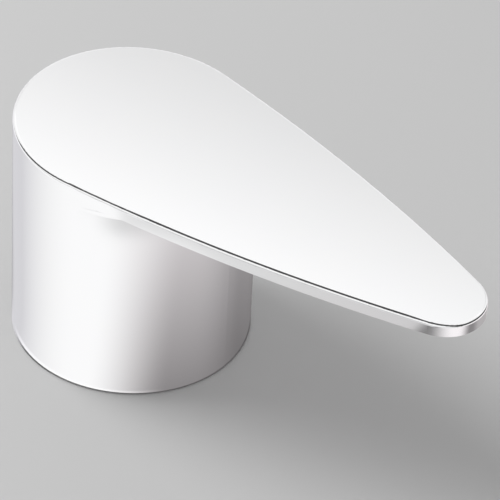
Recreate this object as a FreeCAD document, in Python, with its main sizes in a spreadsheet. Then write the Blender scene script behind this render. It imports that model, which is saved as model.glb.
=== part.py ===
"""Single-lever mixer tap handle: one hollow casting and the screw that holds it.

The rim of the skirt lies on Z = 0, the skirt's axis is Z and the lever points along +X.
All sizes are in millimetres and degrees.
"""
import FreeCAD, Part
import math
import os
import Sketcher
from FreeCAD import Placement, Rotation, Vector

SIZES = [
    # skirt and lever
    ("skirt_diameter", 47.0, "outside of the round skirt"),
    ("axis_height", 48.0, "rim to top face, on the skirt's axis"),
    ("lever_slope", 3.0, "fall of the top face towards the tip"),
    ("lever_thickness", 2.6, "height of the lever's side"),
    ("tip_distance", 71.8, "skirt's axis to the centre of the rounded tip"),
    ("tip_radius", 8.45, "rounded tip in plan"),
    ("flank_radius", 355.0, "long curve of each flank in plan"),
    ("trim_margin", 6.0, "stock around the outline before it is trimmed"),
    ("blend_radius", 2.2, "hollow corner between skirt and underside"),
    ("top_edge_radius", 0.6, "rounded edge round the top face"),
    ("rim_edge_radius", 0.5, "rounded outer edge of the rim"),
    # inside of the skirt
    ("skirt_wall", 2.8, "wall of the skirt above the turned mouth"),
    ("mouth_wall", 2.2, "wall of the turned mouth"),
    ("mouth_depth", 18.0, "depth of the turned mouth"),
    # stem boss
    ("boss_height", 24.0, "rim to the boss's lower end"),
    ("boss_length", 17.0, "boss along the lever"),
    ("boss_width", 14.6, "boss across the lever"),
    ("boss_offset", 5.2, "skirt's axis to the middle of the boss"),
    ("boss_corner", 2.5, "rounded corners of the boss"),
    ("socket_width", 9.0, "square socket for the stem"),
    ("stem_lean", 12.0, "lean of the closed stem towards the lever"),
    ("pivot_height", 8.0, "rim to the stem's pivot"),
    ("stem_reach", 30.0, "stem's pivot to the socket's blind end"),
    # ribs
    ("rib_thickness", 2.2, "ribs between boss and skirt"),
    ("rib_height", 35.0, "rim to the lower edge of the ribs"),
    # fixing screw and its lug
    ("screw_height", 31.0, "rim to the screw's axis"),
    ("screw_diameter", 5.0, "outside of the screw's thread"),
    ("screw_length", 10.0, "screw from end to end"),
    ("screw_inset", 0.8, "screw's point back from the socket's wall"),
    ("screw_bevel", 0.6, "bevelled ends of the screw"),
    ("cup_diameter", 2.6, "mouth of the cup point"),
    ("cup_depth", 0.9, "depth of the cup point"),
    ("key_width", 2.5, "hexagon socket across flats"),
    ("key_depth", 3.2, "depth of the hexagon socket"),
    ("thread_clearance", 0.05, "screw to its hole, all round"),
    ("lug_wall", 2.2, "metal round the screw's hole"),
    ("key_hole_diameter", 5.8, "way in for the key, behind the screw"),
    ("key_hole_sink", 0.45, "countersunk mouth of the key's way in"),
]

doc = FreeCAD.newDocument("tap_handle")
sheet = doc.addObject("Spreadsheet::Sheet", "sizes")
for row, (alias, size, meaning) in enumerate(SIZES, start=1):
    sheet.set(f"A{row}", meaning)
    sheet.set(f"B{row}", str(size))
    sheet.setAlias(f"B{row}", alias)
doc.recompute()

# lengths that several features share, as expressions of the sheet
SKIRT_RADIUS = "(sizes.skirt_diameter / 2)"
SKIRT_INSIDE = "(sizes.skirt_diameter / 2 - sizes.skirt_wall)"
WALL_MIDDLE = "(sizes.skirt_diameter / 2 - sizes.skirt_wall / 2)"
MOUTH_RADIUS = "(sizes.skirt_diameter / 2 - sizes.mouth_wall)"
STOCK_REAR = "(sizes.skirt_diameter / 2 + sizes.trim_margin)"
STOCK_FRONT = "(sizes.tip_distance + sizes.tip_radius + sizes.trim_margin)"
SCREW_HOLE_RADIUS = "(sizes.screw_diameter / 2 + sizes.thread_clearance)"
LUG_RADIUS = "(sizes.key_hole_diameter / 2 + sizes.lug_wall)"
# where the screw's axis meets the middle and the rear wall of the leaning socket
SOCKET_MIDDLE = "((sizes.screw_height - sizes.pivot_height) * tan(sizes.stem_lean * 1 deg))"
SOCKET_REAR = f"({SOCKET_MIDDLE} - sizes.socket_width / 2 / cos(sizes.stem_lean * 1 deg))"
SCREW_HEAD = f"({SOCKET_REAR} - sizes.screw_inset - sizes.screw_length)"
# end of the cross ribs, in the middle of the skirt's wall
RIB_END = f"sqrt({WALL_MIDDLE} ^ 2 - sizes.boss_offset ^ 2)"

# what every sketch holds by itself, by index: its origin and its two axes
ORIGIN_INDEX = (-1, 1)
LEVEL_AXIS_INDEX = -1
UPRIGHT_AXIS_INDEX = -2
UP = Vector(0, 0, 1)
# how edges are told apart: points looked at along an edge, and how close they have to lie
EDGE_SAMPLES = 9
EDGE_TOLERANCE = 0.01


def number(expression):
    """Present value of an expression of the sheet."""
    value = sheet.evalExpression(expression)
    return float(getattr(value, "Value", value))


def add_sketch(body, name, role, base=None, turn=None):
    """New sketch on an origin plane, moved and turned by expressions of the sheet."""
    plane = [feature for feature in body.Origin.OriginFeatures if feature.Role == role][0]
    sketch = body.newObject("Sketcher::SketchObject", name)
    sketch.AttachmentSupport = (plane, [""])
    sketch.MapMode = "FlatFace"
    if turn is not None:
        axis, angle = turn
        sketch.AttachmentOffset = Placement(Vector(), Rotation(axis, number(angle)))
        sketch.setExpression("AttachmentOffset.Rotation.Angle", f"{angle} * 1 deg")
    for coordinate, expression in (base or {}).items():
        sketch.setExpression(f"AttachmentOffset.Base.{coordinate}", expression)
    return sketch


def bind(sketch, expression, *constraint):
    """Add a constraint whose size follows an expression of the sheet."""
    index = sketch.addConstraint(Sketcher.Constraint(*constraint, number(expression)))
    sketch.setExpression(f"Constraints[{index}]", expression)


def place_point(sketch, point, x, y):
    """Hold a point at a place given by two expressions of the sheet."""
    for kind, axis, expression in (
        ("DistanceX", UPRIGHT_AXIS_INDEX, x),
        ("DistanceY", LEVEL_AXIS_INDEX, y),
    ):
        if number(expression) == 0:
            sketch.addConstraint(Sketcher.Constraint("PointOnObject", *point, axis))
        else:
            bind(sketch, expression, kind, *ORIGIN_INDEX, *point)


def add_circle(sketch, radius, x="0", y="0"):
    """Circle held by its centre and radius."""
    centre = Vector(number(x), number(y), 0)
    circle = sketch.addGeometry(Part.Circle(centre, UP, number(radius)))
    place_point(sketch, (circle, 3), x, y)
    bind(sketch, radius, "Radius", circle)


def add_loop(sketch, corners):
    """Closed loop of straight lines through corners given as pairs of expressions."""
    points = [Vector(number(x), number(y), 0) for x, y in corners]
    lines = []
    for start, end in zip(points, points[1:] + points[:1]):
        lines.append(sketch.addGeometry(Part.LineSegment(start, end)))
    for line, following in zip(lines, lines[1:] + lines[:1]):
        sketch.addConstraint(Sketcher.Constraint("Coincident", line, 2, following, 1))
    for line, (x, y) in zip(lines, corners):
        place_point(sketch, (line, 1), x, y)


def add_rectangle(sketch, left, right, half_width):
    """Rectangle that lies evenly on both sides of the sketch's X axis."""
    low = f"-{half_width}"
    add_loop(sketch, [(left, low), (right, low), (right, half_width), (left, half_width)])


def add_arc(sketch, centre, radius, start, end):
    """Arc given by its centre, radius and two angles in radians."""
    return sketch.addGeometry(Part.ArcOfCircle(Part.Circle(centre, UP, radius), start, end))


def join_smoothly(sketch, *joints):
    """Make pairs of arc ends meet with a common tangent."""
    for first, second in joints:
        sketch.addConstraint(Sketcher.Constraint("Tangent", *first, *second))


def add_lever_outline(sketch):
    """Drop outline: round rear on the skirt, two long flanks and a round tip, all tangent."""
    rear_radius = number(SKIRT_RADIUS)
    reach = number("sizes.tip_distance")
    tip_radius = number("sizes.tip_radius")
    flank_radius = number("sizes.flank_radius")
    to_rear = flank_radius - rear_radius
    to_tip = flank_radius - tip_radius
    flank_x = (reach ** 2 + to_rear ** 2 - to_tip ** 2) / (2 * reach)
    flank_y = math.sqrt(to_rear ** 2 - flank_x ** 2)
    rear_angle = math.atan2(flank_y, -flank_x)
    tip_angle = math.atan2(flank_y, reach - flank_x)
    rear = add_arc(sketch, Vector(), rear_radius, rear_angle, 2 * math.pi - rear_angle)
    tip = add_arc(sketch, Vector(reach, 0, 0), tip_radius, -tip_angle, tip_angle)
    left = add_arc(sketch, Vector(flank_x, -flank_y, 0), flank_radius, tip_angle, rear_angle)
    right = add_arc(sketch, Vector(flank_x, flank_y, 0), flank_radius, -rear_angle, -tip_angle)
    join_smoothly(
        sketch,
        ((rear, 1), (left, 2)),
        ((left, 1), (tip, 2)),
        ((tip, 1), (right, 2)),
        ((right, 1), (rear, 2)),
    )
    sketch.addConstraint(Sketcher.Constraint("Coincident", rear, 3, *ORIGIN_INDEX))
    place_point(sketch, (tip, 3), "sizes.tip_distance", "0")
    bind(sketch, SKIRT_RADIUS, "Radius", rear)
    bind(sketch, "sizes.tip_radius", "Radius", tip)
    bind(sketch, "sizes.flank_radius", "Radius", left)
    bind(sketch, "sizes.flank_radius", "Radius", right)


def settle(feature):
    """Work a new feature out and stop if it failed."""
    doc.recompute()
    if "Invalid" in feature.State or "Error" in feature.State:
        raise RuntimeError(f"{feature.Name} failed: {feature.getStatusString()}")
    return feature


def add_pad(body, name, sketch, length=None, up_to=None, midplane=False, reverse=False):
    """Pad of a given length, or up to a face of an earlier feature."""
    pad = body.newObject("PartDesign::Pad", name)
    pad.Profile = sketch
    pad.Midplane = midplane
    pad.Reversed = reverse
    if up_to is None:
        pad.setExpression("Length", length)
    else:
        pad.Type = "UpToFace"
        pad.UpToFace = up_to
    return settle(pad)


def add_pocket(body, name, sketch, length=None, reverse=False):
    """Pocket of a given depth, or through all; it has to take metal away."""
    before = body.Shape.Volume
    pocket = body.newObject("PartDesign::Pocket", name)
    pocket.Profile = sketch
    pocket.Reversed = reverse
    if length is None:
        pocket.Type = "ThroughAll"
    else:
        pocket.setExpression("Length", length)
    settle(pocket)
    if body.Shape.Volume >= before:
        raise RuntimeError(f"{name} cuts nothing")


def add_turning(body, kind, name, sketch):
    """Full turn of a sketch about its own X axis."""
    turning = body.newObject(kind, name)
    turning.Profile = sketch
    turning.ReferenceAxis = (sketch, ["H_Axis"])
    turning.Angle = 360
    return settle(turning)


def add_fillet(body, name, chosen, radius):
    """Fillet on the edges of the body that a rule chooses."""
    base = body.Tip
    edges = [f"Edge{i}" for i, edge in enumerate(base.Shape.Edges, start=1) if chosen(edge)]
    if not edges:
        raise RuntimeError(f"{name} finds no edge")
    fillet = body.newObject("PartDesign::Fillet", name)
    fillet.Base = (base, edges)
    fillet.setExpression("Radius", radius)
    settle(fillet)


def edge_points(edge):
    """A few points along an edge."""
    return edge.discretize(Number=EDGE_SAMPLES)


def near(value, target):
    """True where two lengths agree."""
    return abs(value - target) < EDGE_TOLERANCE


def round_axis(edge, radius):
    """True where an edge runs round the skirt's axis at a radius."""
    return all(near(math.hypot(point.x, point.y), radius) for point in edge_points(edge))


def in_level(edge, height):
    """True where an edge lies in a level plane."""
    return all(near(point.z, height) for point in edge_points(edge))


def in_slope(edge, height):
    """True where an edge lies in the lever's slope, at a height on the skirt's axis."""
    fall = math.tan(math.radians(number("sizes.lever_slope")))
    return all(near(point.z + point.x * fall, height) for point in edge_points(edge))


def stands_at(edge, x, y):
    """True where an edge stands upright over a place."""
    return all(near(point.x, x) and near(point.y, y) for point in edge_points(edge))


def make_handle_body():
    """Hollow casting: skirt, lever, stem boss with its socket, ribs and screw lug."""
    body = doc.addObject("PartDesign::Body", "handle_body")
    skirt_radius = number(SKIRT_RADIUS)
    top_height = number("sizes.axis_height")
    underside_height = number("sizes.axis_height - sizes.lever_thickness")

    # sloping stock for the lever, wider than its outline
    section = add_sketch(body, "lever_section", "XZ_Plane")
    slope = "tan(sizes.lever_slope * 1 deg)"
    rear_top = f"(sizes.axis_height + {STOCK_REAR} * {slope})"
    front_top = f"(sizes.axis_height - {STOCK_FRONT} * {slope})"
    add_loop(section, [
        (f"-{STOCK_REAR}", rear_top),
        (f"-{STOCK_REAR}", f"({rear_top} - sizes.lever_thickness)"),
        (STOCK_FRONT, f"({front_top} - sizes.lever_thickness)"),
        (STOCK_FRONT, front_top),
    ])
    stock = add_pad(body, "lever_stock", section, f"2 * {STOCK_REAR}", midplane=True)
    lowest = [face.normalAt(0, 0).z for face in stock.Shape.Faces]
    underside = (stock, [f"Face{lowest.index(min(lowest)) + 1}"])

    # skirt up to the lever
    ring = add_sketch(body, "skirt_section", "XY_Plane")
    add_circle(ring, SKIRT_RADIUS)
    add_circle(ring, SKIRT_INSIDE)
    add_pad(body, "skirt", ring, up_to=underside)
    add_fillet(
        body, "rim_edge",
        lambda edge: in_level(edge, 0) and round_axis(edge, skirt_radius),
        "sizes.rim_edge_radius",
    )

    # turned mouth that passes over the tap's collar
    mouth = add_sketch(body, "mouth_section", "XY_Plane")
    add_circle(mouth, MOUTH_RADIUS)
    add_pocket(body, "mouth", mouth, "sizes.mouth_depth", reverse=True)

    # stem boss hanging from the top
    boss = add_sketch(body, "boss_section", "XY_Plane", {"z": "sizes.boss_height"})
    rear = "(sizes.boss_offset - sizes.boss_length / 2)"
    front = "(sizes.boss_offset + sizes.boss_length / 2)"
    half_boss = "(sizes.boss_width / 2)"
    add_rectangle(boss, rear, front, half_boss)
    add_pad(body, "stem_boss", boss, up_to=underside)
    corners = [(number(x), y * number(half_boss)) for x in (rear, front) for y in (-1, 1)]
    add_fillet(
        body, "boss_corners",
        lambda edge: any(stands_at(edge, x, y) for x, y in corners),
        "sizes.boss_corner",
    )

    # lug from the boss to the rear wall, round below and straight above the screw
    block = add_sketch(body, "lug_section", "XY_Plane", {"z": "sizes.screw_height"})
    add_rectangle(block, f"-{WALL_MIDDLE}", "sizes.boss_offset", LUG_RADIUS)
    add_pad(body, "screw_lug", block, up_to=underside)
    base = add_sketch(body, "lug_base_section", "YZ_Plane", {"z": "sizes.boss_offset"})
    add_circle(base, LUG_RADIUS, "0", "sizes.screw_height")
    add_pad(body, "screw_lug_base", base, f"({WALL_MIDDLE} + sizes.boss_offset)", reverse=True)

    # ribs across the skirt and towards the front
    cross = add_sketch(body, "cross_rib_section", "XY_Plane", {"z": "sizes.rib_height"})
    half_rib = "(sizes.rib_thickness / 2)"
    add_loop(cross, [
        (f"(sizes.boss_offset - {half_rib})", f"-{RIB_END}"),
        (f"(sizes.boss_offset + {half_rib})", f"-{RIB_END}"),
        (f"(sizes.boss_offset + {half_rib})", RIB_END),
        (f"(sizes.boss_offset - {half_rib})", RIB_END),
    ])
    add_pad(body, "cross_ribs", cross, up_to=underside)
    forward = add_sketch(body, "front_rib_section", "XY_Plane", {"z": "sizes.rib_height"})
    add_rectangle(forward, "sizes.boss_offset", WALL_MIDDLE, half_rib)
    add_pad(body, "front_rib", forward, up_to=underside)

    # leaning square socket, from the stem's pivot up into the boss
    lean = (Vector(0, 1, 0), "sizes.stem_lean")
    socket = add_sketch(body, "socket_section", "XY_Plane", {"z": "sizes.pivot_height"}, lean)
    half_socket = "(sizes.socket_width / 2)"
    add_rectangle(socket, f"-{half_socket}", half_socket, half_socket)
    add_pocket(body, "stem_socket", socket, "sizes.stem_reach", reverse=True)

    # hollow corner between skirt and lever
    add_fillet(
        body, "lever_blend",
        lambda edge: round_axis(edge, skirt_radius) and in_slope(edge, underside_height),
        "sizes.blend_radius",
    )

    # drop outline, trimmed straight up through blend and lever from half-way up the skirt
    outline = add_sketch(body, "lever_outline", "XY_Plane", {"z": "sizes.axis_height / 2"})
    outer = f"({STOCK_REAR} + sizes.trim_margin)"
    ahead = f"({STOCK_FRONT} + sizes.trim_margin)"
    add_rectangle(outline, f"-{outer}", ahead, outer)
    add_lever_outline(outline)
    add_pocket(body, "outline_trim", outline, reverse=True)

    # rounded edge round the top
    add_fillet(
        body, "top_edge",
        lambda edge: in_slope(edge, top_height),
        "sizes.top_edge_radius",
    )

    # stepped bore along the screw's axis: thread, way in for the key, countersunk mouth
    bore = add_sketch(body, "screw_bore_section", "XZ_Plane", {"y": "sizes.screw_height"})
    key_radius = "(sizes.key_hole_diameter / 2)"
    sink_start = f"(sizes.key_hole_sink - {SKIRT_RADIUS})"
    outside = f"-{STOCK_REAR}"
    add_loop(bore, [
        (SOCKET_MIDDLE, "0"),
        (SOCKET_MIDDLE, SCREW_HOLE_RADIUS),
        (SCREW_HEAD, SCREW_HOLE_RADIUS),
        (SCREW_HEAD, key_radius),
        (sink_start, key_radius),
        (outside, f"({key_radius} + sizes.key_hole_sink + sizes.trim_margin)"),
        (outside, "0"),
    ])
    add_turning(body, "PartDesign::Groove", "screw_bore", bore)
    return body


def make_grub_screw():
    """Headless screw along X with a cup point and a hexagon socket."""
    body = doc.addObject("PartDesign::Body", "grub_screw")
    section = add_sketch(body, "screw_section", "XZ_Plane")
    radius = "(sizes.screw_diameter / 2)"
    shoulder = f"({radius} - sizes.screw_bevel)"
    add_loop(section, [
        ("0", "0"),
        ("0", shoulder),
        ("sizes.screw_bevel", radius),
        ("(sizes.screw_length - sizes.screw_bevel)", radius),
        ("sizes.screw_length", shoulder),
        ("sizes.screw_length", "sizes.cup_diameter / 2"),
        ("(sizes.screw_length - sizes.cup_depth)", "0"),
    ])
    add_turning(body, "PartDesign::Revolution", "turned_screw", section)

    key = add_sketch(body, "key_section", "YZ_Plane")
    circumradius = "(sizes.key_width / 2 / cos(30 deg))"
    turns = [60 * corner for corner in range(6)]
    add_loop(key, [(f"{circumradius} * cos({a} deg)", f"{circumradius} * sin({a} deg)") for a in turns])
    add_pocket(body, "key_socket", key, "sizes.key_depth", reverse=True)
    body.setExpression("Placement.Base.x", SCREW_HEAD)
    body.setExpression("Placement.Base.z", "sizes.screw_height")
    doc.recompute()
    return body


def write_parts(parts):
    """Check the whole document, then write one file for each sub-part."""
    for item in doc.Objects:
        if "Invalid" in item.State or "Error" in item.State:
            raise RuntimeError(f"{item.Name} failed: {item.State}")
    for part in parts:
        if part.Shape.isNull() or not part.Shape.isValid():
            raise RuntimeError(f"{part.Label} has no valid shape")
    os.makedirs("parts", exist_ok=True)
    for part in parts:
        part.Shape.exportStep(f"parts/{part.Label}.step")
        print(part.Label, round(part.Shape.Volume, 1), "mm3")


write_parts([make_handle_body(), make_grub_screw()])
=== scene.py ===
import math

import bmesh
import bpy
from mathutils import Matrix, Vector


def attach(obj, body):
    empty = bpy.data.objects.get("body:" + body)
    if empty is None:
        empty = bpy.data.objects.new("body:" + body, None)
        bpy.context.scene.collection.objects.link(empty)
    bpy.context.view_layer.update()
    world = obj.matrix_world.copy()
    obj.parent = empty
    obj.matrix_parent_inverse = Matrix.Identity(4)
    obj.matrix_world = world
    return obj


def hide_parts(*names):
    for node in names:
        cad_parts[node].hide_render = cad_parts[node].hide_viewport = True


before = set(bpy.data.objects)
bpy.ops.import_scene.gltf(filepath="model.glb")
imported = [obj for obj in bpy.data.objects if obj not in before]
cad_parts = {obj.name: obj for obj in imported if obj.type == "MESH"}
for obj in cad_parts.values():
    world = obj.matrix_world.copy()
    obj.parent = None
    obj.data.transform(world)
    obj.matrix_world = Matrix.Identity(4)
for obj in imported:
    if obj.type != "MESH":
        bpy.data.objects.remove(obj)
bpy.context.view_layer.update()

MM = 0.001
UP = Vector((0, 0, 1))

# sizes of the handle, as in the part's source
SKIRT_RADIUS = 23.5 * MM
MOUTH_DEPTH = 18.0 * MM
AXIS_HEIGHT = 48.0 * MM
LEVER_THICKNESS = 2.6 * MM
LEVER_FALL = math.tan(math.radians(3.0))
KEY_WAY_RADIUS = 2.9 * MM
SCREW_START = -10.51 * MM
SCREW_HEIGHT = 31.0 * MM

# sizes of the grub screw, the inputs of its node tree
SCREW_SIZES = {
    "Radius": 2.5 * MM,
    "Length": 10.0 * MM,
    "Pitch": 0.8 * MM,
    "Depth": 0.45 * MM,
    "Bevel": 0.6 * MM,
    "Cup Radius": 1.3 * MM,
    "Cup Depth": 0.9 * MM,
    "Key Flats": 2.5 * MM,
    "Key Depth": 3.2 * MM,
}
# the thread's flat root and its flank, as shares of half a pitch
THREAD_ROOT = 0.22
THREAD_FLANK = 0.66
# the key's bevelled mouth and the point of its floor, as shares of the flats
KEY_MOUTH = 1.08
KEY_BEVEL = 0.05
KEY_POINT = 0.15
KEY_SIDES = 6
# segments round the screw and along one turn of its thread
AROUND = 72
PER_TURN = 12
# how the screw's mesh is closed and shaded, and the relief of its steel
WELD_DISTANCE = 0.002 * MM
SLIVER_LENGTH = 0.001 * MM
SHARP_ANGLE = math.radians(25)
STEEL_RELIEF = 0.01 * MM

# the casting's finish: where its inside begins, its turning marks and its relief
INSIDE_RADIUS = 22.0 * MM
INSIDE_TOP = AXIS_HEIGHT - LEVER_THICKNESS + 0.8 * MM
INSIDE_FADE = 0.4 * MM
TURNING_STEP = 0.25 * MM
SKIN_RELIEF = 0.05 * MM
# the flanks' casting draft, which fades in next to the skirt and out before the tip
FLANK_DRAFT = math.tan(math.radians(1.5))
DRAFT_START = SKIRT_RADIUS
DRAFT_FULL = SKIRT_RADIUS + 3.0 * MM
DRAFT_FADE = 44 * MM
DRAFT_END = 58 * MM

# colours, in pairs where a finish varies between two
WHITE = (1.0, 1.0, 1.0, 1.0)
# tints of the floor card's painted reflection: warm in its painted shade, cool on its lit side towards
# the rear
WARM = (1.0, 0.955, 0.967, 1.0)
COOL = (0.970, 0.962, 1.0, 1.0)
PLATE = ((0.925, 0.928, 0.938, 1.0), (0.935, 0.933, 0.935, 1.0))
CAST_SKIN = ((0.50, 0.50, 0.51, 1.0), (0.66, 0.66, 0.66, 1.0))
STEEL = ((0.44, 0.44, 0.45, 1.0), (0.60, 0.59, 0.58, 1.0))
FLOOR_GREY = (0.60, 0.60, 0.60, 1.0)

# the photograph's camera: how it is turned, where it stands and its lens
AZIMUTH = math.radians(53.617)
ELEVATION = math.radians(38.414)
ROLL = math.radians(3.066)
BACK = Vector((
    math.cos(ELEVATION) * math.cos(AZIMUTH),
    -math.cos(ELEVATION) * math.sin(AZIMUTH),
    math.sin(ELEVATION),
))
CAMERA_RIGHT = 23.397 * MM
CAMERA_UP = 13.240 * MM
CAMERA_BACK = 751.701 * MM
SENSOR_WIDTH = 36.0
FOCAL_PIXELS = 3817.082
PICTURE_PIXELS = 500
FARTHEST_SEEN = 20.0

# sizes of the studio's floor and cards, and how far off the back card stands
FLOOR_WIDTH = 6.0
FLOOR_CARD_WIDTH = 700 * MM
BACK_CARD_WIDTH = 450 * MM
BACK_CARD_HEIGHT = 240 * MM
BACK_CARD_DISTANCE = 350 * MM
TIP_CARD_WIDTH = 36 * MM
TIP_CARD_HEIGHT = 24 * MM

# light levels of the studio, where 1 is white, and what the seam and the grey take away
AMBIENT = 0.55
BRIGHT = 1.1
SEAM_LOSS = 0.94
GREY_LOSS = 0.35
# the floor card's painted black line of shade at the rim, where the skirt meets the floor
RIM_BLACK = 0.12
TIP_BLACK = 0.05
# painted light of the floor card, which the skirt mirrors in place of the floor: its lit side, then its
# painted shade at the foot and the rise for each metre
LIT_FRONT = 1.03
LIT_REAR = 0.515
LIT_LEAST = 0.71
SHADE_FOOT = 0.075
SHADE_RISE = 8.2
REAR_GREY = 0.42
TOP_MOST = 0.70
# painted light of the floor card that the lever's flank mirrors at its two ends, and that the tip
# mirrors
FLANK_LEFT = 0.785
FLANK_RIGHT = 0.645
TIP_NEAR = 0.22
TIP_FAR = 1.0
TIP_SIDE_LOSS = 0.74
TIP_REAR_GAIN = 0.21
# back card: its middle, its rise for each metre and its limits
BACK_MIDDLE = 0.972
BACK_RISE = 5.525
BACK_LEAST = 0.8
BACK_MOST = 1.12


class Wire:
    """A value that runs through a node tree; arithmetic on it adds Math nodes."""

    def __init__(self, tree, socket):
        self.tree = tree
        self.socket = socket

    def math(self, operation, *others):
        node = self.tree.nodes.new("ShaderNodeMath")
        node.operation = operation
        for entry, value in zip(node.inputs, (self, *others)):
            feed(self.tree, entry, value)
        return Wire(self.tree, node.outputs[0])

    def __add__(self, other):
        return self.math("ADD", other)

    def __sub__(self, other):
        return self.math("SUBTRACT", other)

    def __mul__(self, other):
        return self.math("MULTIPLY", other)

    def __truediv__(self, other):
        return self.math("DIVIDE", other)

    def flipped(self):
        """One less this value."""
        return (self * -1.0) + 1.0

    def clamped(self):
        """This value, held between 0 and 1."""
        return self.math("MAXIMUM", 0.0).math("MINIMUM", 1.0)

    def between(self, low, high):
        """Smooth step from 0 at low to 1 at high; low may be the larger of the two."""
        node = self.tree.nodes.new("ShaderNodeMapRange")
        node.interpolation_type = "SMOOTHSTEP"
        feed(self.tree, node.inputs["Value"], self)
        node.inputs["From Min"].default_value = low
        node.inputs["From Max"].default_value = high
        return Wire(self.tree, node.outputs["Result"])


def feed(tree, entry, value):
    """Link a wire to a node's entry, or set the entry to a plain value."""
    if isinstance(value, Wire):
        tree.links.new(value.socket, entry)
    else:
        entry.default_value = value


def add_node(tree, kind, output, **entries):
    """Add a node, fill its entries by name and return the named output as a wire."""
    node = tree.nodes.new(kind)
    for name, value in entries.items():
        feed(tree, node.inputs[name.replace("_", " ")], value)
    return Wire(tree, node.outputs[output])


def split(tree, vector):
    """The three parts of a vector."""
    node = tree.nodes.new("ShaderNodeSeparateXYZ")
    feed(tree, node.inputs[0], vector)
    return [Wire(tree, output) for output in node.outputs]


def place_on_piece(tree):
    """Object coordinates."""
    return add_node(tree, "ShaderNodeTexCoord", "Object")


def span(first, second):
    """Length of a line with these two parts, at right angles to each other."""
    return (first * first + second * second).math("SQRT")


def stretched(tree, vector, scale):
    """A vector scaled along its three axes."""
    return add_node(tree, "ShaderNodeMapping", "Vector", Vector=vector, Scale=scale)


def noise(tree, vector, scale, detail=2.0):
    """Smooth noise from 0 to 1."""
    return add_node(tree, "ShaderNodeTexNoise", 0, Vector=vector, Scale=scale, Detail=detail)


def blend(tree, share, first, second, kind="FLOAT"):
    """Two values mixed by a share."""
    node = tree.nodes.new("ShaderNodeMix")
    node.data_type = kind
    feed(tree, node.inputs["Factor"], share)
    feed(tree, node.inputs["A"], first)
    feed(tree, node.inputs["B"], second)
    return Wire(tree, node.outputs["Result"])


def blend_colours(tree, share, first, second):
    """Two colours mixed by a share."""
    return blend(tree, share, first, second, "RGBA")


def mix_to(value, level, share):
    """A value drawn towards a level by a share."""
    return value + (value * -1.0 + level) * share


def new_finish(name):
    """A new node material with its tree and shader."""
    finish = bpy.data.materials.new(name)
    finish.use_nodes = True
    tree = finish.node_tree
    return finish, tree, tree.nodes["Principled BSDF"]


def add_relief(tree, shader, height):
    """Small relief on a finish; the height is in metres."""
    normal = add_node(tree, "ShaderNodeBump", "Normal", Height=height, Distance=1.0, Strength=1.0)
    feed(tree, shader.inputs["Normal"], normal)


def new_mesh_object(name, mesh):
    """A new object with a mesh, in the scene."""
    piece = bpy.data.objects.new(name, mesh)
    bpy.context.collection.objects.link(piece)
    return piece


def flat_mesh(name, wide, tall):
    """One rectangle round the origin, facing up."""
    x, y = wide / 2, tall / 2
    mesh = bpy.data.meshes.new(name)
    mesh.from_pydata([(-x, -y, 0), (x, -y, 0), (x, y, 0), (-x, y, 0)], [], [(0, 1, 2, 3)])
    return mesh


def make_chrome():
    """Bright plate outside, duller cast skin and turned mouth inside the skirt, dull key way."""
    finish, tree, shader = new_finish("bright_chrome")
    place = place_on_piece(tree)
    x, y, z = split(tree, place)
    radius = span(x, y)
    # height, levelled along the falling lever
    levelled = z + x * LEVER_FALL
    inside = radius.between(INSIDE_RADIUS + INSIDE_FADE, INSIDE_RADIUS)
    inside = inside * levelled.between(INSIDE_TOP + INSIDE_FADE, INSIDE_TOP)
    key_way = span(y, z - SCREW_HEIGHT).between(KEY_WAY_RADIUS + 0.2 * MM, KEY_WAY_RADIUS + 0.1 * MM)
    inside = inside.math("MAXIMUM", key_way * x.between(0.0, -1.0 * MM))
    turned = inside * z.between(MOUTH_DEPTH + 0.3 * MM, MOUTH_DEPTH - 0.1 * MM)
    clouds = noise(tree, place, 70.0)
    grain = noise(tree, place, 2600.0, 3.0)
    wipes = noise(tree, stretched(tree, place, (40.0, 260.0, 90.0)), 1.0, 3.0)
    rings = (z * (math.tau / TURNING_STEP) + clouds * 4.0).math("SINE")
    shader.inputs["Metallic"].default_value = 1.0
    plate = blend_colours(tree, clouds, *PLATE)
    skin = blend_colours(tree, grain, *CAST_SKIN)
    feed(tree, shader.inputs["Base Color"], blend_colours(tree, inside, plate, skin))
    polished = clouds * 0.03 + wipes * 0.02 + 0.07
    dull = blend(tree, turned, grain * 0.20 + 0.34, rings * 0.05 + 0.27)
    feed(tree, shader.inputs["Roughness"], blend(tree, inside, polished, dull))
    skin_relief = blend(tree, turned, grain, rings * 0.12 + 0.5) * inside * SKIN_RELIEF
    drafted = radius.between(DRAFT_START, DRAFT_FULL) * x.between(DRAFT_END, DRAFT_FADE)
    draft_relief = (levelled - AXIS_HEIGHT) * drafted * FLANK_DRAFT
    add_relief(tree, shader, skin_relief - draft_relief)
    return finish


def make_steel():
    """Plain turned steel."""
    finish, tree, shader = new_finish("screw_steel")
    place = place_on_piece(tree)
    drawn = noise(tree, stretched(tree, place, (9000.0, 700.0, 700.0)), 1.0)
    patches = noise(tree, place, 600.0)
    shader.inputs["Metallic"].default_value = 1.0
    feed(tree, shader.inputs["Base Color"], blend_colours(tree, patches, *STEEL))
    feed(tree, shader.inputs["Roughness"], drawn * 0.18 + patches * 0.10 + 0.20)
    add_relief(tree, shader, drawn * STEEL_RELIEF)
    return finish


def roll_up(tree, rows, shape):
    """Grid rolled round the X axis; shape turns its two shares into a radius and a place on X."""
    grid = tree.nodes.new("GeometryNodeMeshGrid")
    grid.inputs["Vertices X"].default_value = AROUND + 1
    grid.inputs["Vertices Y"].default_value = rows + 1
    x, y = split(tree, add_node(tree, "GeometryNodeInputPosition", "Position"))[:2]
    # the grid is 1 wide and 1 tall round its middle
    turn = x + 0.5
    radius, along = shape(turn, y + 0.5)
    angle = turn * math.tau
    place = add_node(
        tree, "ShaderNodeCombineXYZ", "Vector",
        X=along, Y=radius * angle.math("COSINE"), Z=radius * angle.math("SINE"),
    )
    flat = Wire(tree, grid.outputs["Mesh"])
    return add_node(tree, "GeometryNodeSetPosition", "Geometry", Geometry=flat, Position=place)


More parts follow.
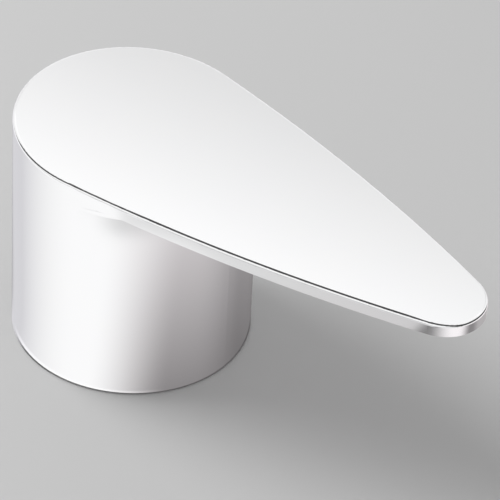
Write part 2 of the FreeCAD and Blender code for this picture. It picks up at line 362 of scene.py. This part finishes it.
def make_screw_tree(steel):
    """Node tree of a threaded grub screw along X, key end at zero and cup at the far end."""
    tree = bpy.data.node_groups.new("grub_screw", "GeometryNodeTree")
    for name, length in SCREW_SIZES.items():
        entry = tree.interface.new_socket(name, in_out="INPUT", socket_type="NodeSocketFloat")
        entry.default_value = length
    tree.interface.new_socket("Mesh", in_out="OUTPUT", socket_type="NodeSocketGeometry")
    given = tree.nodes.new("NodeGroupInput")
    size = {name: Wire(tree, given.outputs[name]) for name in SCREW_SIZES}
    rim = size["Radius"] - size["Bevel"]

    def thread(turn, row):
        # rows follow the thread; those past an end gather on its rim
        run = row * (size["Length"] + size["Pitch"]) - size["Pitch"]
        along = (run + turn * size["Pitch"]).math("MAXIMUM", 0.0).math("MINIMUM", size["Length"])
        swing = ((run / size["Pitch"]).math("FLOORED_MODULO", 1.0) - 0.5).math("ABSOLUTE") * 2.0
        height = ((swing - THREAD_ROOT) / THREAD_FLANK).clamped()
        radius = size["Radius"] - size["Depth"] * height.flipped()
        radius = radius.math("MINIMUM", rim + along).math("MINIMUM", rim + size["Length"] - along)
        return radius, along

    def hexagon(turn, scale):
        swing = (turn * KEY_SIDES + 0.5).math("FLOORED_MODULO", 1.0) - 0.5
        return size["Key Flats"] * (0.5 * scale) / (swing * (math.tau / KEY_SIDES)).math("COSINE")

    def band(start, end):
        """Ring between two outlines, each a radius by turn and a place on X."""
        def shape(turn, row):
            radius = start[0](turn) + (end[0](turn) - start[0](turn)) * row
            return radius, start[1] + (end[1] - start[1]) * row
        return roll_up(tree, 1, shape)

    zero = rim * 0.0
    outer = (lambda turn: rim, zero)
    mouth = (lambda turn: hexagon(turn, KEY_MOUTH), zero)
    lip = (lambda turn: hexagon(turn, 1.0), size["Key Flats"] * KEY_BEVEL)
    floor = (lambda turn: hexagon(turn, 1.0), size["Key Depth"])
    point = (lambda turn: zero, size["Key Depth"] + size["Key Flats"] * KEY_POINT)
    far = (lambda turn: rim, size["Length"])
    cup = (lambda turn: size["Cup Radius"], size["Length"])
    cup_floor = (lambda turn: zero, size["Length"] - size["Cup Depth"])
    rows = round((SCREW_SIZES["Length"] / SCREW_SIZES["Pitch"] + 1) * PER_TURN)
    pieces = [roll_up(tree, rows, thread)]
    for outlines in ((outer, mouth, lip, floor, point), (far, cup, cup_floor)):
        for start, end in zip(outlines, outlines[1:]):
            pieces.append(band(start, end))
    joined = tree.nodes.new("GeometryNodeJoinGeometry")
    for piece in pieces:
        tree.links.new(piece.socket, joined.inputs[0])
    whole = Wire(tree, joined.outputs[0])
    whole = add_node(
        tree, "GeometryNodeMergeByDistance", "Geometry", Geometry=whole, Distance=WELD_DISTANCE,
    )
    whole = add_node(tree, "GeometryNodeRealizeInstances", "Geometry", Geometry=whole)
    whole = add_node(tree, "GeometryNodeSetMaterial", "Geometry", Geometry=whole, Material=steel)
    tree.links.new(whole.socket, tree.nodes.new("NodeGroupOutput").inputs[0])
    return tree


def add_screw():
    """Threaded grub screw in place of the plain one."""
    tree = make_screw_tree(make_steel())
    screw = new_mesh_object("threaded_screw", bpy.data.meshes.new("threaded_screw"))
    rule = screw.modifiers.new("grub_screw", "NODES")
    rule.node_group = tree
    for entry in tree.interface.items_tree:
        if entry.in_out == "INPUT":
            rule[entry.identifier] = SCREW_SIZES[entry.name]
    shaped = screw.evaluated_get(bpy.context.evaluated_depsgraph_get())
    mesh = bpy.data.meshes.new_from_object(shaped)
    screw.modifiers.remove(rule)
    screw.data = mesh
    solid = bmesh.new()
    solid.from_mesh(mesh)
    bmesh.ops.dissolve_degenerate(solid, edges=solid.edges, dist=SLIVER_LENGTH)
    bmesh.ops.recalc_face_normals(solid, faces=solid.faces)
    bmesh.ops.translate(solid, verts=solid.verts, vec=(SCREW_START, 0, SCREW_HEIGHT))
    solid.to_mesh(mesh)
    solid.free()
    mesh.shade_smooth()
    mesh.set_sharp_from_angle(angle=SHARP_ANGLE)
    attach(screw, "root")
    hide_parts("grub_screw")


def add_floor():
    """Plain pale floor."""
    finish, _, shader = new_finish("pale_floor")
    shader.inputs["Base Color"].default_value = FLOOR_GREY
    shader.inputs["Roughness"].default_value = 0.9
    shader.inputs["Specular IOR Level"].default_value = 0.0
    mesh = flat_mesh("floor", FLOOR_WIDTH, FLOOR_WIDTH)
    mesh.materials.append(finish)
    new_mesh_object("floor", mesh)


def add_camera():
    """The photograph's camera."""
    level = Vector((math.sin(AZIMUTH), math.cos(AZIMUTH), 0))
    upright = BACK.cross(level)
    right = level * math.cos(ROLL) + upright * math.sin(ROLL)
    up = upright * math.cos(ROLL) - level * math.sin(ROLL)
    data = bpy.data.cameras.new("camera")
    data.sensor_width = SENSOR_WIDTH
    data.lens = SENSOR_WIDTH * FOCAL_PIXELS / PICTURE_PIXELS
    data.clip_end = FARTHEST_SEEN
    camera = bpy.data.objects.new("camera", data)
    bpy.context.collection.objects.link(camera)
    place = right * CAMERA_RIGHT + up * CAMERA_UP + BACK * CAMERA_BACK
    turn = Matrix((right, up, BACK)).transposed()
    camera.matrix_world = Matrix.Translation(place) @ turn.to_4x4()
    bpy.context.scene.camera = camera


def towards(relative, elevation):
    """Direction given by degrees to the right of the camera and above the floor."""
    turn = math.radians(relative) - AZIMUTH
    rise = math.radians(elevation)
    return Vector((
        math.cos(rise) * math.cos(turn),
        math.cos(rise) * math.sin(turn),
        math.sin(rise),
    ))


def add_lamp(name, relative, elevation, distance, size, power):
    """Soft round lamp that looks at the handle and isn't mirrored in it."""
    data = bpy.data.lights.new(name, "AREA")
    data.shape = "DISK"
    data.size = size
    data.energy = power
    lamp = bpy.data.objects.new(name, data)
    bpy.context.collection.objects.link(lamp)
    direction = towards(relative, elevation)
    lamp.location = direction * distance
    lamp.rotation_euler = direction.to_track_quat("Z", "Y").to_euler()
    lamp.visible_glossy = False


def add_card(name, place, side, upward, wide, tall, glow):
    """Flat studio card that only reflections see; glow gives its light, cover and colour by place."""
    finish = bpy.data.materials.new(name)
    finish.use_nodes = True
    tree = finish.node_tree
    tree.nodes.remove(tree.nodes["Principled BSDF"])
    light = tree.nodes.new("ShaderNodeEmission")
    clear = tree.nodes.new("ShaderNodeBsdfTransparent")
    mixed = tree.nodes.new("ShaderNodeMixShader")
    across, along = split(tree, place_on_piece(tree))[:2]
    strength, cover, colour = glow(across, along)
    feed(tree, light.inputs["Strength"], strength)
    feed(tree, light.inputs["Color"], colour)
    feed(tree, mixed.inputs["Fac"], cover)
    tree.links.new(clear.outputs[0], mixed.inputs[1])
    tree.links.new(light.outputs[0], mixed.inputs[2])
    tree.links.new(mixed.outputs[0], tree.nodes["Material Output"].inputs["Surface"])
    mesh = flat_mesh(name, wide, tall)
    mesh.materials.append(finish)
    card = new_mesh_object(name, mesh)
    turn = Matrix((side, upward, side.cross(upward))).transposed()
    card.matrix_world = Matrix.Translation(place) @ turn.to_4x4()
    card.visible_camera = False
    card.visible_diffuse = False
    card.visible_shadow = False


def angle_round_skirt(forward, side):
    """Degrees to the right of the camera, counted from -195 to 165."""
    middle = -15.0
    turn = math.radians(middle)
    ahead = forward * math.cos(turn) + side * math.sin(turn)
    across = side * math.cos(turn) - forward * math.sin(turn)
    return across.math("ARCTAN2", ahead) * math.degrees(1.0) + middle


def skirt_light(reach, angle, looking, left):
    """Painted reflection for the skirt: lit floor on the left, and on the right a painted shadow of the
    skirt itself; angles in degrees.
    """
    lit = looking.between(-195, -50) * (LIT_FRONT - LIT_REAR) + LIT_REAR
    lit = lit.math("MAXIMUM", LIT_LEAST)
    # painted shade, darker on the far right, and a little less so at the rear
    shade = reach * SHADE_RISE + SHADE_FOOT
    shade = shade * (looking.between(70, 140) * -0.30 + looking.between(125, 170) * 0.09 + 1.0)
    light = mix_to(shade, lit, left)
    light = mix_to(light, REAR_GREY, looking.between(-165, -195))
    # painted shade for the skirt's top, next to the lever
    dimmed = light.math("MINIMUM", TOP_MOST)
    return mix_to(light, dimmed, reach.between(70 * MM, 76 * MM) * angle.between(-34, -3))


def lever_light(light, reach, angle, forward, side):
    """Adds the painted reflection for the lever's flank, and then for its tip from front to side."""
    flank = angle.between(-40, 25) * (FLANK_RIGHT - FLANK_LEFT) + FLANK_LEFT
    light = mix_to(light, flank, reach.between(77.5 * MM, 80.5 * MM) * angle.between(-46, -40))
    tip = side.between(24 * MM, 90 * MM) * (TIP_FAR - TIP_NEAR) + TIP_NEAR
    tip = tip - forward.between(86 * MM, 58 * MM) * TIP_SIDE_LOSS
    tip = tip + forward.between(54 * MM, 28 * MM) * TIP_REAR_GAIN
    return mix_to(light, tip, reach.between(84 * MM, 92 * MM) * side.between(23 * MM, 26 * MM))


def far_light(light, reach, angle):
    """Adds the painted bright floor far out, which starts nearer at the left and at the right."""
    start = angle.between(-75, -45) * (190 * MM) + 88 * MM
    start = start - angle.between(46, 56) * (128 * MM) - angle.between(62, 96) * (45 * MM)
    return mix_to(light, BRIGHT, ((reach - start) / (50 * MM)).between(0.0, 1.0))


def rim_light(light, reach, looking, left):
    """Adds a painted highlight for the rim's rounded edge close by, and then a painted black line of
    shade at its foot.
    """
    close = reach - SKIRT_RADIUS
    front = looking.between(-160, -110)
    light = mix_to(light, BRIGHT, close.between(1.3 * MM, 0.8 * MM) * left * front * 0.8)
    return mix_to(light, RIM_BLACK, close.between(0.50 * MM, 0.38 * MM) * front)


def floor_glow(forward, side):
    """Painted reflection of the floor, with painted shadows, for the chrome to mirror round the skirt's
    foot and out from under the lever.
    """
    reach = span(forward, side).math("MAXIMUM", SKIRT_RADIUS)
    angle = angle_round_skirt(forward, side)
    # which way the skirt looks where it sees this place
    looking = angle / (reach.math("POWER", -1.0) * (-SKIRT_RADIUS / 2) + 1.0)
    left = (looking - (reach - 45 * MM) * 300.0).between(48, -33)
    light = skirt_light(reach, angle, looking, left)
    light = lever_light(light, reach, angle, forward, side)
    light = far_light(light, reach, angle)
    light = rim_light(light, reach, looking, left)
    cover = reach.between(345 * MM, 300 * MM) * angle.between(130, 120)
    lit_tint = blend_colours(light.tree, looking.between(-80, -150), WHITE, COOL)
    return light, cover, blend_colours(light.tree, left, WARM, lit_tint)


def back_glow(across, along):
    """Pale, brighter towards the top; the top face mirrors it."""
    slant = 0.263
    light = (along - across * slant) * BACK_RISE + BACK_MIDDLE
    return light.math("MINIMUM", BACK_MOST).math("MAXIMUM", BACK_LEAST), 1.0, WHITE


def tip_glow(across, along):
    """Dark, lower towards the rear; the tip's rounded edge mirrors it."""
    slant = 0.35
    rear = across.between(0.0, -12 * MM)
    over = along - across * slant + rear * (4.0 * MM)
    under = along + rear * (2.5 * MM)
    cover = over.between(5.5 * MM, 2.5 * MM) * under.between(-7.8 * MM, -6.8 * MM)
    return TIP_BLACK, cover * across.between(-17 * MM, -10 * MM), WHITE


def add_cards():
    """Cards on the floor, beside the lever's tip and behind the handle."""
    forward = towards(0, 0)
    rightward = towards(90, 0)
    over_floor = UP * (0.1 * MM)
    add_card(
        "floor_card", over_floor, forward, rightward,
        FLOOR_CARD_WIDTH, FLOOR_CARD_WIDTH, floor_glow,
    )
    beside_tip = forward * (50 * MM) + rightward * (76 * MM) + UP * (51 * MM)
    add_card("tip_card", beside_tip, forward, UP, TIP_CARD_WIDTH, TIP_CARD_HEIGHT, tip_glow)
    # the way the top face looks when the camera sees it
    mirrored = towards(175.8, 41.8)
    level = mirrored.cross(UP).normalized()
    top_middle = Vector((28 * MM, 0, 46.5 * MM))
    add_card(
        "back_card", top_middle + mirrored * BACK_CARD_DISTANCE, level, level.cross(mirrored),
        BACK_CARD_WIDTH, BACK_CARD_HEIGHT, back_glow,
    )


def mirror_angles(x, y, z):
    """Tilt and turn in degrees of a surface that mirrors a direction to the camera."""
    front = towards(0, 0)
    right = towards(90, 0)
    # halfway between the direction and the camera
    forward = x * front.x + y * front.y + math.cos(ELEVATION)
    side = x * right.x + y * right.y
    upward = z + math.sin(ELEVATION)
    tilt = span(forward, side).math("ARCTAN2", upward) * math.degrees(1.0)
    turn = side.math("ARCTAN2", forward) * math.degrees(1.0)
    return tilt, turn


def seam_shares(tilt, turn):
    """How far a direction lies in the dark seam, and in the grey beyond it."""
    # tilts at which the top edge's dark line starts and ends, all along the edge
    start = turn.between(-14, -66) * 21.0 + turn.between(3, 30) * 29.0 + 12.5
    start = start + turn.between(-58, -70) * 8.0
    start = start + turn.between(-15, -20) * 2.0 + turn.between(-21, -26)
    end = turn.between(-5, -65) * 26.0 + turn.between(-6, 27) * 37.0 + 34.5
    end = end - turn.between(-62, -76) * 8.0 - turn.between(-15, -20) * 2.0
    # wider where the flank turns into the tip
    corner = turn.between(-15.5, -11.5) * turn.between(8, -4)
    start = start - corner * 4.0
    end = end + corner * 7.0
    seam = (tilt - start).between(-2.5, 2.5) * (tilt - end).between(3.0, -3.0)
    seam = seam * turn.between(-86, -66) * turn.between(36, 26)
    grey = (tilt - end).between(20.0, 34.0) * turn.between(-50, -35) * turn.between(5, -5)
    return seam, grey


def set_world():
    """White studio, with a dark seam overhead that only reflections see."""
    world = bpy.data.worlds.new("studio")
    bpy.context.scene.world = world
    world.use_nodes = True
    tree = world.node_tree
    ground = tree.nodes["Background"]
    direction = add_node(tree, "ShaderNodeTexCoord", "Generated")
    seam, grey = seam_shares(*mirror_angles(*split(tree, direction)))
    path = tree.nodes.new("ShaderNodeLightPath")
    glossy = Wire(tree, path.outputs["Is Glossy Ray"])
    seen = glossy
    for kind in ("Is Camera Ray", "Is Transmission Ray"):
        seen = seen.math("MAXIMUM", Wire(tree, path.outputs[kind]))
    light = seen * (1.0 - AMBIENT) + AMBIENT
    ground.inputs["Color"].default_value = WHITE
    feed(tree, ground.inputs["Strength"], light - glossy * (seam * SEAM_LOSS + grey * GREY_LOSS))


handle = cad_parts["handle_body"]
handle.data.materials.clear()
handle.data.materials.append(make_chrome())
add_screw()

add_floor()
add_camera()
add_lamp("key", relative=-110, elevation=52, distance=0.8, size=0.5, power=3.6)
add_cards()
set_world()
bpy.context.scene.view_settings.view_transform = "Standard"
